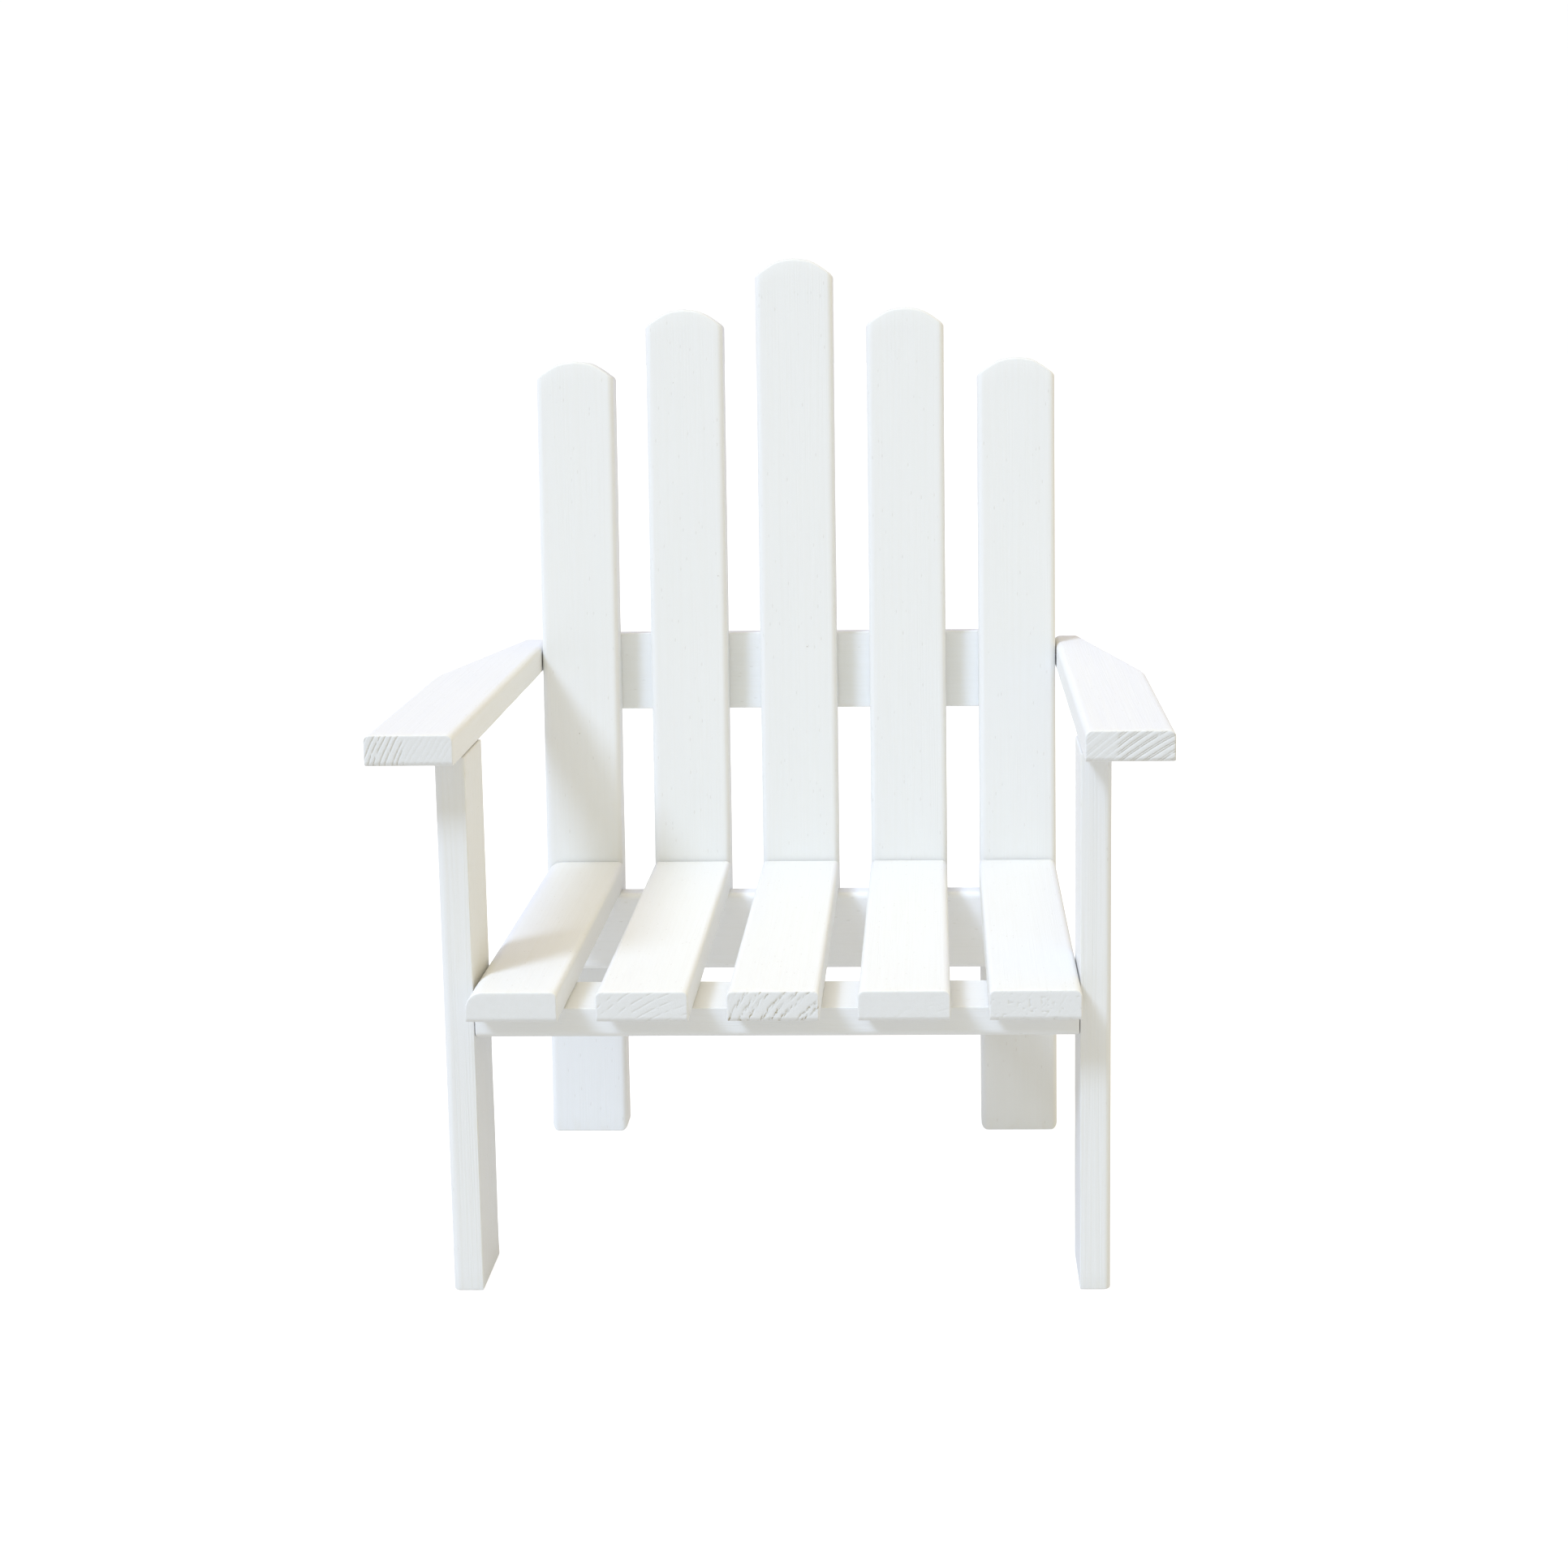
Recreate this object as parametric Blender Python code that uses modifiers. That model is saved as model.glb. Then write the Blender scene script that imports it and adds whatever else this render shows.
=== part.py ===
"""Child's adirondack chair in white-painted softwood boards.

Every board is cut from one stock section, with both long edges of one face
rounded and the other two left nearly sharp. Five seat slats run from front to back, five back slats lean slightly to the rear, and the outer two back slats
carry on to the floor as the rear legs. Two rails, two front legs and two arms
tie them together. Screws and blind dowels hold the boards.

Units are metres, +Z is up, the front of the chair faces -Y and the origin is
on the floor under the middle of the chair.
"""
import math

import bmesh
import bpy
from mathutils import Matrix, Vector

# ---------------------------------------------------------------- dimensions
STOCK_WIDTH = 0.0570         # about 2 1/4 in
STOCK_THICKNESS = 0.0195     # about 3/4 in
GAP = 0.0003                 # between boards that rest on each other

SEAT_INNER_WIDTH = 0.3810    # between the front legs
SEAT_PITCH = 0.0808          # seat slats, centre to centre
BACK_PITCH = 0.0812          # back slats, centre to centre
SEAT_OVERHANG = 0.0300       # seat slats in front of the legs
ARM_OVERHANG = 0.0295        # arms in front of the legs
BACK_SETBACK = 0.2970        # front of the legs to the back slats, at seat height
RECLINE = math.radians(3.25)

FRONT_RAIL_HEIGHT = 0.1675   # floor to the underside of the front rail
ARM_UNDERSIDE = 0.3487       # floor to the underside of the arms
UPPER_RAIL_HEIGHT = 0.3180   # floor to the lower edge of the upper back rail
BACK_TOP_HEIGHTS = (0.5790, 0.6160, 0.6522, 0.6160, 0.5790)

ARM_WIDTH = 0.0550           # planed a little narrower than the stock
ARM_SET_OUT = 0.0010         # arms outside the inner faces of the legs
ARM_TAPER_START = 0.1850     # from the front of the legs
ARM_REAR_WIDTH = 0.0200
ARM_REAR = 0.3440            # rear end of the arms, from the front of the legs

EDGE_ROUND = 0.0045          # long edges of each board's better face
ARRIS = 0.0006               # long edges of its other face
END_EASE = 0.0010            # sawn ends
ARCH_EASE = 0.0022           # front and rear edge of the shaped tops
CORNER_ROUND = 0.0050        # lower corners of the back slats, seen from the front
ARM_CORNER = 0.0020          # front outer corners of the arms, seen from above

SCREW_HEAD_RADIUS = 0.0035
SCREW_HEAD_DEPTH = 0.0026
SCREW_SHANK_RADIUS = 0.00175
SCREW_POINT = 0.0040
SCREW_RECESS = 0.0004
SHORT_SCREW = 0.0300
LONG_SCREW = 0.0440
ARM_SCREW = 0.0500
SCREW_SPREAD = 0.0120        # each pair is staggered, half the spacing across
SCREW_RISE = 0.0140          # and half the spacing up
DOWEL_RADIUS = 0.0040
CLEARANCE = 0.00035          # round a screw or a dowel in its hole
ROUND_STEPS = 10

# ------------------------------------------------------------ derived levels
SEAT_UNDERSIDE = FRONT_RAIL_HEIGHT + STOCK_THICKNESS + GAP
SEAT_TOP = SEAT_UNDERSIDE + STOCK_THICKNESS
LEG_LENGTH = ARM_UNDERSIDE - GAP
INNER = SEAT_INNER_WIDTH / 2.0
SIN, COS = math.sin(RECLINE), math.cos(RECLINE)
ARM_INNER = INNER + ARM_SET_OUT
ARM_OUTER = ARM_INNER + ARM_WIDTH
SEAT_X = [(i - 2) * SEAT_PITCH for i in range(5)]
BACK_X = [(i - 2) * BACK_PITCH for i in range(5)]
RAIL_LENGTH = 4.0 * BACK_PITCH + STOCK_WIDTH

# In the leaning frame of the back, x is across, y is square to the slats and
# z runs up along them from the height of the seat.
REAR_RAIL_TOP = -(STOCK_THICKNESS + GAP) * (1.0 + SIN) / COS
REAR_RAIL_BOTTOM = REAR_RAIL_TOP - STOCK_WIDTH
UPPER_RAIL_BOTTOM = (UPPER_RAIL_HEIGHT - SEAT_TOP + STOCK_THICKNESS * SIN) / COS
UPPER_RAIL_TOP = UPPER_RAIL_BOTTOM + STOCK_WIDTH

WHITE_PAINT = (0.80, 0.83, 0.83)
BARE_WOOD = (0.66, 0.47, 0.28)
ZINC = (0.62, 0.63, 0.64)

# -------------------------------------------------------------- empty scene
for old in list(bpy.data.objects):
    bpy.data.objects.remove(old, do_unlink=True)

parts = bpy.data.collections.new("adirondack_chair")
cutters = bpy.data.collections.new("cutters")
bpy.context.scene.collection.children.link(parts)
bpy.context.scene.collection.children.link(cutters)


def add_empty(name, parent=None, location=(0, 0, 0), rotation=(0, 0, 0)):
    empty = bpy.data.objects.new(name, None)
    empty.location = location
    empty.rotation_euler = rotation
    empty.parent = parent
    parts.objects.link(empty)
    return empty


chair = add_empty("chair")
back = add_empty("leaning_back", chair, (0.0, BACK_SETBACK, SEAT_TOP), (-RECLINE, 0.0, 0.0))


# ----------------------------------------------------------------- materials
def add_material(name, colour, roughness, metallic):
    material = bpy.data.materials.new(name)
    material.use_nodes = True
    shader = material.node_tree.nodes["Principled BSDF"]
    shader.inputs["Base Color"].default_value = (*colour, 1.0)
    shader.inputs["Roughness"].default_value = roughness
    shader.inputs["Metallic"].default_value = metallic
    material.diffuse_color = (*colour, 1.0)
    return material


def paint(obj):
    obj.data.materials.append(add_material(obj.name + "_paint", WHITE_PAINT, 0.45, 0.0))


# -------------------------------------------------------------------- boards
def add_mesh_object(name, mesh, parent, location, collection, rotation=(0, 0, 0)):
    obj = bpy.data.objects.new(name, mesh)
    obj.location = location
    obj.rotation_euler = rotation
    obj.parent = parent
    collection.objects.link(obj)
    return obj


def add_round(obj):
    """Rounds the edges by their bevel weight, full weight on the long edges."""
    bevel = obj.modifiers.new("rounded_edges", "BEVEL")
    bevel.width = EDGE_ROUND
    bevel.segments = 3
    bevel.limit_method = "WEIGHT"
    bevel.miter_outer = "MITER_SHARP"


def add_board(name, low, high, better, parent):
    """A square-sawn board between two corners; its better face is the rounded one."""
    low, high = Vector(low), Vector(high)
    size, centre = high - low, (high + low) / 2.0
    bm = bmesh.new()
    bmesh.ops.create_cube(bm, size=1.0)
    bmesh.ops.scale(bm, vec=size, verts=bm.verts)
    weight = bm.edges.layers.float.new("bevel_weight_edge")
    longest, better = max(size), Vector(better)
    for edge in bm.edges:
        middle = (edge.verts[0].co + edge.verts[1].co) / 2.0
        if abs(edge.calc_length() - longest) > 1e-6:
            edge[weight] = END_EASE / EDGE_ROUND
        else:
            edge[weight] = 1.0 if middle.dot(better) > 0.0 else ARRIS / EDGE_ROUND
    mesh = bpy.data.meshes.new(name)
    bm.to_mesh(mesh)
    bm.free()
    board = add_mesh_object(name, mesh, parent, centre, parts)
    add_round(board)
    paint(board)
    return board


def add_shaped_board(name, outline, parent, location, rotation, ease, fine_outline=False):
    """A board with a shaped outline: a flat curve with thickness, made a mesh.

    ease gives the rounding of each edge from its two end points. The ends of
    an edge through the thickness have the same x and y.
    """
    curve = bpy.data.curves.new(name + "_outline", "CURVE")
    curve.dimensions = "2D"
    curve.fill_mode = "BOTH"
    curve.extrude = STOCK_THICKNESS / 2.0
    spline = curve.splines.new("POLY")
    spline.points.add(len(outline) - 1)
    for point, (u, v) in zip(spline.points, outline):
        point.co = (u, v, 0.0, 1.0)
    spline.use_cyclic_u = True
    flat = bpy.data.objects.new(name + "_outline", curve)
    flat.location = location
    flat.rotation_euler = rotation
    flat.parent = parent
    parts.objects.link(flat)
    bpy.context.view_layer.update()
    graph = bpy.context.evaluated_depsgraph_get()
    mesh = bpy.data.meshes.new_from_object(flat.evaluated_get(graph))
    mesh.name = name

    bm = bmesh.new()
    bm.from_mesh(mesh)
    bmesh.ops.remove_doubles(bm, verts=bm.verts, dist=1e-6)
    caps = [f for f in bm.faces if abs(f.normal.z) > 0.9]
    inner = [e for e in bm.edges if len(e.link_faces) == 2 and all(f in caps for f in e.link_faces)]
    bmesh.ops.dissolve_edges(bm, edges=inner, use_verts=False)
    weight = bm.edges.layers.float.new("bevel_weight_edge")
    for edge in bm.edges:
        a, b = (v.co for v in edge.verts)
        edge[weight] = ease(a, b) / EDGE_ROUND
    bmesh.ops.recalc_face_normals(bm, faces=bm.faces)
    bm.to_mesh(mesh)
    bm.free()

    board = bpy.data.objects.new(name, mesh)
    board.parent = parent
    board.location = location
    board.rotation_euler = rotation
    parts.objects.link(board)
    bpy.data.objects.remove(flat, do_unlink=True)
    add_round(board)
    # The short edges round an arch would hold every rounding down to theirs.
    board.modifiers["rounded_edges"].use_clamp_overlap = not fine_outline
    paint(board)
    return board


# ------------------------------------------------------- screws and dowels
def turned(name, profile, collection, parent, matrix):
    """A solid turned about its own Z axis from (radius, height) pairs, top down."""
    mesh = bpy.data.meshes.new(name)
    bm = bmesh.new()
    verts = [bm.verts.new((r, 0.0, z)) for r, z in profile]
    for a, b in zip(verts, verts[1:]):
        bm.edges.new((a, b))
    bm.to_mesh(mesh)
    bm.free()
    obj = bpy.data.objects.new(name, mesh)
    obj.parent = parent
    obj.matrix_local = matrix
    collection.objects.link(obj)
    spin = obj.modifiers.new("turned", "SCREW")
    spin.axis = "Z"
    spin.steps = spin.render_steps = ROUND_STEPS
    spin.use_merge_vertices = True
    spin.merge_threshold = 0.00001
    spin.use_smooth_shade = False
    return obj


def hide_cutter(obj):
    obj.hide_render = True
    obj.display_type = "WIRE"
    return obj


def cut(board, cutter):
    hole = board.modifiers.new("cut_" + cutter.name[-24:], "BOOLEAN")
    hole.operation = "DIFFERENCE"
    hole.solver = "EXACT"
    hole.object = cutter


def placed(location, direction):
    """A frame at location whose -Z, the way the screw is driven, is direction."""
    turn = Vector(direction).to_track_quat("-Z", "Y").to_matrix().to_4x4()
    return Matrix.Translation(Vector(location)) @ turn


def add_screw(name, location, direction, length, boards, parent, mouth=0.002):
    """A countersunk wood screw whose head lies in the face at location."""
    frame = placed(location, direction)
    top, r, shank = -SCREW_RECESS, SCREW_HEAD_RADIUS, SCREW_SHANK_RADIUS
    screw = turned(name, [(0.0, top), (r, top), (shank, top - SCREW_HEAD_DEPTH),
                          (shank, top - length + SCREW_POINT), (0.0, top - length)],
                   parts, parent, frame)
    screw.data.materials.append(add_material(name + "_zinc", ZINC, 0.35, 1.0))
    c = CLEARANCE
    hole = turned("hole_" + name, [(0.0, mouth), (r + c, mouth), (r + c, top),
                                   (shank + c, top - SCREW_HEAD_DEPTH - c),
                                   (shank + c, top - length + SCREW_POINT),
                                   (0.0, top - length - 2.0 * c)],
                  cutters, parent, frame)
    hide_cutter(hole)
    for board in boards:
        cut(board, hole)
    return screw


def add_dowel(name, centre, length, boards, parent):
    """A blind upright dowel with eased ends, hidden across a joint."""
    frame = Matrix.Translation(Vector(centre))
    h, r, e = length / 2.0, DOWEL_RADIUS, 0.0008
    dowel = turned(name, [(0.0, h), (r - e, h), (r, h - e), (r, e - h), (r - e, -h), (0.0, -h)],
                   parts, parent, frame)
    dowel.data.materials.append(add_material(name + "_wood", BARE_WOOD, 0.70, 0.0))
    c = CLEARANCE
    hole = turned("hole_" + name, [(0.0, h + c), (r + c, h + c), (r + c, -h - c), (0.0, -h - c)],
                  cutters, parent, frame)
    hide_cutter(hole)
    for board in boards:
        cut(board, hole)
    return dowel


# ------------------------------------------------------------- front of chair
legs = {}
for side, sign in (("left", -1.0), ("right", 1.0)):
    x = sorted((sign * INNER, sign * (INNER + STOCK_THICKNESS)))
    legs[side] = add_board("front_leg_" + side, (x[0], 0.0, 0.0),
                           (x[1], STOCK_WIDTH, LEG_LENGTH), (sign, 0.0, 0.0), chair)

front_rail = add_board("front_rail", (-INNER + GAP, 0.0, FRONT_RAIL_HEIGHT),
                       (INNER - GAP, STOCK_WIDTH, FRONT_RAIL_HEIGHT + STOCK_THICKNESS),
                       (0.0, 0.0, -1.0), chair)

# The seat slats are sawn square and stop clear of the leaning back slats.
SEAT_REAR = BACK_SETBACK - (STOCK_THICKNESS + GAP) * SIN / COS - GAP
seat_slats = []
for i, x in enumerate(SEAT_X):
    seat_slats.append(add_board("seat_slat_%d" % (i + 1),
                                (x - STOCK_WIDTH / 2.0, -SEAT_OVERHANG, SEAT_UNDERSIDE),
                                (x + STOCK_WIDTH / 2.0, SEAT_REAR, SEAT_TOP),
                                (0.0, 0.0, 1.0), chair))

# ---------------------------------------------------------------------- back
rear_seat_rail = add_board("rear_seat_rail",
                           (-RAIL_LENGTH / 2.0, -GAP - STOCK_THICKNESS, REAR_RAIL_BOTTOM),
                           (RAIL_LENGTH / 2.0, -GAP, REAR_RAIL_TOP), (0.0, -1.0, 0.0), back)
upper_back_rail = add_board("upper_back_rail",
                            (-RAIL_LENGTH / 2.0, STOCK_THICKNESS + GAP, UPPER_RAIL_BOTTOM),
                            (RAIL_LENGTH / 2.0, 2.0 * STOCK_THICKNESS + GAP, UPPER_RAIL_TOP),
                            (0.0, 1.0, 0.0), back)


def slat_outline(top, bottom):
    """Front view of a back slat: sloping shoulders run into a gentle crown."""
    half = STOCK_WIDTH / 2.0
    flat, blend, slope = 0.46 * half, 0.28 * half, 0.82

    def drop(u):
        return slope * 0.5 * ((u - flat) + math.hypot(u - flat, blend))

    steps = 14
    arch = []
    for k in range(steps + 1):
        u = half - 2.0 * half * k / steps
        arch.append((u, top - (drop(abs(u)) - drop(0.0))))
    return [(-half, bottom), (half, bottom)] + arch


def slat_ease(a, b):
    """The front long edges get the full round, the shaped top less."""
    if abs(a.z - b.z) > 1e-6:
        return CORNER_ROUND if a.y < 0.0 else 0.0
    if a.z < 0.0:
        return ARRIS
    if (a - b).length > 0.1:
        return EDGE_ROUND
    return ARCH_EASE if max(a.y, b.y) > 0.1 else END_EASE


floor_mesh = bpy.data.meshes.new("floor_saw_cut")
bm = bmesh.new()
bmesh.ops.create_cube(bm, size=1.0)
bmesh.ops.scale(bm, vec=(0.6, 0.3, 0.04), verts=bm.verts)
bm.to_mesh(floor_mesh)
bm.free()
floor_cut = hide_cutter(add_mesh_object("floor_saw_cut", floor_mesh, chair,
                                        (0.0, BACK_SETBACK, -0.02), cutters))

SLAT_NAMES = ("back_slat_left_leg", "back_slat_2", "back_slat_centre", "back_slat_4",
              "back_slat_right_leg")
back_slats = []
for i, name in enumerate(SLAT_NAMES):
    is_leg = i in (0, 4)
    top = (BACK_TOP_HEIGHTS[i] - SEAT_TOP) / COS
    bottom = -(SEAT_TOP / COS + 0.003) if is_leg else REAR_RAIL_BOTTOM
    slat = add_shaped_board(name, slat_outline(top, bottom), back,
                            (BACK_X[i], STOCK_THICKNESS / 2.0, 0.0),
                            (math.radians(90.0), 0.0, 0.0), slat_ease, fine_outline=True)
    if is_leg:
        cut(slat, floor_cut)      # the rear legs stand level on the floor
    back_slats.append(slat)


# ---------------------------------------------------------------------- arms
def arm_ease(a, b):
    """The upper long edges are rounded, and the front outer corner in plan."""
    if abs(a.z - b.z) > 1e-6:
        return ARM_CORNER if a.y < 0.0 and abs(a.x) > ARM_INNER + 0.01 else 0.0
    if (a - b).length > 0.1:
        return EDGE_ROUND if a.z > 0.0 else ARRIS
    return END_EASE


arms = {}
for side, sign in (("left", -1.0), ("right", 1.0)):
    corners = [(ARM_INNER, -ARM_OVERHANG), (ARM_OUTER, -ARM_OVERHANG),
               (ARM_OUTER, ARM_TAPER_START), (ARM_INNER + ARM_REAR_WIDTH, ARM_REAR),
               (ARM_INNER, ARM_REAR)]
    if sign < 0.0:
        corners = [(-u, v) for u, v in reversed(corners)]
    arms[side] = add_shaped_board("armrest_" + side, corners, chair,
                                  (0.0, 0.0, ARM_UNDERSIDE + STOCK_THICKNESS / 2.0),
                                  (0.0, 0.0, 0.0), arm_ease)

# ----------------------------------------------------------------- fasteners
MID_RAIL = FRONT_RAIL_HEIGHT + STOCK_THICKNESS / 2.0
QUARTERS = (("front", STOCK_WIDTH * 0.25), ("rear", STOCK_WIDTH * 0.75))

for side, sign in (("left", -1.0), ("right", 1.0)):
    for place, y in QUARTERS:
        add_screw("leg_screw_%s_%s" % (side, place),
                  (sign * (INNER + STOCK_THICKNESS), y, MID_RAIL), (-sign, 0.0, 0.0),
                  LONG_SCREW, (legs[side], front_rail), chair)
        add_dowel("arm_dowel_%s_%s" % (side, place),
                  (sign * (INNER + STOCK_THICKNESS / 2.0), y, LEG_LENGTH - 0.002), 0.028,
                  (legs[side], arms[side]), chair)

for i, x in enumerate(SEAT_X):
    add_screw("seat_screw_%d" % (i + 1), (x, STOCK_WIDTH / 2.0, FRONT_RAIL_HEIGHT),
              (0.0, 0.0, 1.0), SHORT_SCREW, (front_rail, seat_slats[i]), chair)
    rail_centre = BACK_SETBACK - (GAP + STOCK_THICKNESS / 2.0) * COS - 0.028 * SIN
    add_dowel("seat_dowel_%d" % (i + 1), (x, rail_centre, SEAT_UNDERSIDE - 0.002), 0.024,
              (rear_seat_rail, seat_slats[i]), chair)

    # Each crossing has two screws on a diagonal, the upper one nearer the middle.
    lean = -1.0 if i > 2 else 1.0
    middle = (REAR_RAIL_BOTTOM + REAR_RAIL_TOP) / 2.0
    for place, k in (("upper", 1.0), ("lower", -1.0)):
        add_screw("rail_screw_%d_%s" % (i + 1, place),
                  (BACK_X[i] + lean * k * SCREW_SPREAD, STOCK_THICKNESS, middle + k * SCREW_RISE),
                  (0.0, -1.0, 0.0), SHORT_SCREW, (back_slats[i], rear_seat_rail), back)
    middle = (UPPER_RAIL_BOTTOM + UPPER_RAIL_TOP) / 2.0
    for place, k in (("upper", 1.0), ("lower", -1.0)):
        add_screw("back_screw_%d_%s" % (i + 1, place),
                  (BACK_X[i] + lean * k * SCREW_SPREAD, 2.0 * STOCK_THICKNESS + GAP,
                   middle + k * SCREW_RISE),
                  (0.0, -1.0, 0.0), SHORT_SCREW, (upper_back_rail, back_slats[i]), back)

# The arms are held from their outer edge, square to the edge of the back slat.
ARM_MIDDLE = ARM_UNDERSIDE + STOCK_THICKNESS / 2.0
RISE = (ARM_MIDDLE - SEAT_TOP) / COS
for side, sign in (("left", -1.0), ("right", 1.0)):
    for place, depth, board in (("front", STOCK_THICKNESS / 2.0, back_slats[0 if sign < 0 else 4]),
                                ("rear", 1.5 * STOCK_THICKNESS + GAP, upper_back_rail)):
        y = BACK_SETBACK + RISE * SIN + depth * COS
        taper = (y - ARM_TAPER_START) / (ARM_REAR - ARM_TAPER_START)
        edge = ARM_OUTER - (ARM_WIDTH - ARM_REAR_WIDTH) * taper
        add_screw("arm_screw_%s_%s" % (side, place), (sign * (edge - 0.0015), y, ARM_MIDDLE),
                  (-sign, 0.0, 0.0), ARM_SCREW, (arms[side], board), chair, mouth=0.006)

# --------------------------------------------- origin under the middle, z = 0
bpy.context.view_layer.update()
graph = bpy.context.evaluated_depsgraph_get()
reach = []
for obj in parts.objects:
    if obj.type == "MESH":
        shape = obj.evaluated_get(graph)
        reach += [(shape.matrix_world @ v.co).y for v in shape.data.vertices]
chair.location.y = -(min(reach) + max(reach)) / 2.0
bpy.context.view_layer.update()
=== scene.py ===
"""Looks of the child's adirondack chair: painted boards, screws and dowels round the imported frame.

Each board is rebuilt as its own closed mesh in board coordinates: x across the
width, y along the grain and z through the thickness, with the planed and
rounded face at +z. Its sawn ends carry growth rings and torn grain as real
relief, and its screw and dowel holes are bored out.
"""

import math

import bpy
import numpy as np
from mathutils import Matrix, Vector
from mathutils.kdtree import KDTree


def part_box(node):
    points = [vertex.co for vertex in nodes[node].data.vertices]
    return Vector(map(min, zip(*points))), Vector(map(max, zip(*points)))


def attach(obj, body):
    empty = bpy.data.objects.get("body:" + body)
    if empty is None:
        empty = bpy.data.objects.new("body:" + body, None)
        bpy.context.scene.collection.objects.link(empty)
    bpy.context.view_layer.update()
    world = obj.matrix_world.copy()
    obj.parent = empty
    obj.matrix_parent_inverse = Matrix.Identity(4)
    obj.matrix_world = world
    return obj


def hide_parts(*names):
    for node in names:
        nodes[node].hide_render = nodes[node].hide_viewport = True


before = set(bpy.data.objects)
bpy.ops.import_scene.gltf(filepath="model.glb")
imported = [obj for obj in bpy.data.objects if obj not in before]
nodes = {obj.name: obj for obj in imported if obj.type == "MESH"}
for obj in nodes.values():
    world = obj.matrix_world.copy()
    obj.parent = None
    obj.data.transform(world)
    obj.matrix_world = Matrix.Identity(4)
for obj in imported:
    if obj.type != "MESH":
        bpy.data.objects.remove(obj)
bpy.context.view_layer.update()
scene = bpy.context.scene
MM = 0.001

# ------------------------------------------------------------ camera, stage
PICTURE = 1932.0
CAMERA = dict(x=0.10040, y=-1.61064, z=0.64914, yaw=-1.328, pitch=8.471, roll=0.641,
              focal=2960.49, cx=1081.92, cy=763.14)


def aim_camera(c):
    """A pinhole given by its place, turn, focal length and principal point in picture pixels."""
    yaw, pitch, roll = (math.radians(c[k]) for k in ("yaw", "pitch", "roll"))
    forward = Vector((math.sin(yaw) * math.cos(pitch), math.cos(yaw) * math.cos(pitch), -math.sin(pitch)))
    right = Vector((math.cos(yaw), -math.sin(yaw), 0.0))
    down = forward.cross(right)
    if down.z > 0.0:
        down = -down
    across = math.cos(roll) * right + math.sin(roll) * down
    below = -math.sin(roll) * right + math.cos(roll) * down
    data = bpy.data.cameras.new("view")
    data.sensor_width = 36.0
    data.lens = c["focal"] / PICTURE * 36.0
    data.shift_x = -(c["cx"] - PICTURE / 2.0) / PICTURE
    data.shift_y = -(PICTURE / 2.0 - c["cy"]) / PICTURE
    data.clip_start, data.clip_end = 0.05, 60.0
    camera = bpy.data.objects.new("view", data)
    scene.collection.objects.link(camera)
    turn = Matrix((across, -below, -forward)).transposed().to_4x4()
    camera.matrix_world = Matrix.Translation((c["x"], c["y"], c["z"])) @ turn
    scene.camera = camera


aim_camera(CAMERA)
scene.view_settings.view_transform = "Standard"
scene.view_settings.look = "None"
scene.view_settings.exposure = 0.0
scene.view_settings.gamma = 1.0


# Light: even and a little warm, a large bright ceiling, softer light from the sides, in front
# and behind, and a tall window high on the left in front, as a lower and an upper part.
SKY_EVEN = (0.370, 0.300, 0.165)
SKY_LOBES = (("Z", 1.0, 6.0, (1.190, 1.050, 0.745)), ("X", -1.0, 2.0, (0.560, 0.610, 0.760)),
             ("X", 1.0, 2.0, (0.740, 0.670, 0.490)), ("Y", -1.0, 2.0, (0.168, 0.279, 0.370)),
             ("Y", 1.0, 2.0, (0.100, 0.250, 0.810)))
WINDOW = (("window_low", 44.0, 48.0, 13.0, (1.057, 1.287, 1.708)),
          ("window_high", 44.0, 60.0, 17.0, (0.298, 0.363, 0.482)))
FLOOR_GLOW, FLOOR_SEEN = 0.325, 0.50


def new_nodes(tree):
    tree.nodes.clear()
    return tree.nodes, tree.links


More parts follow.
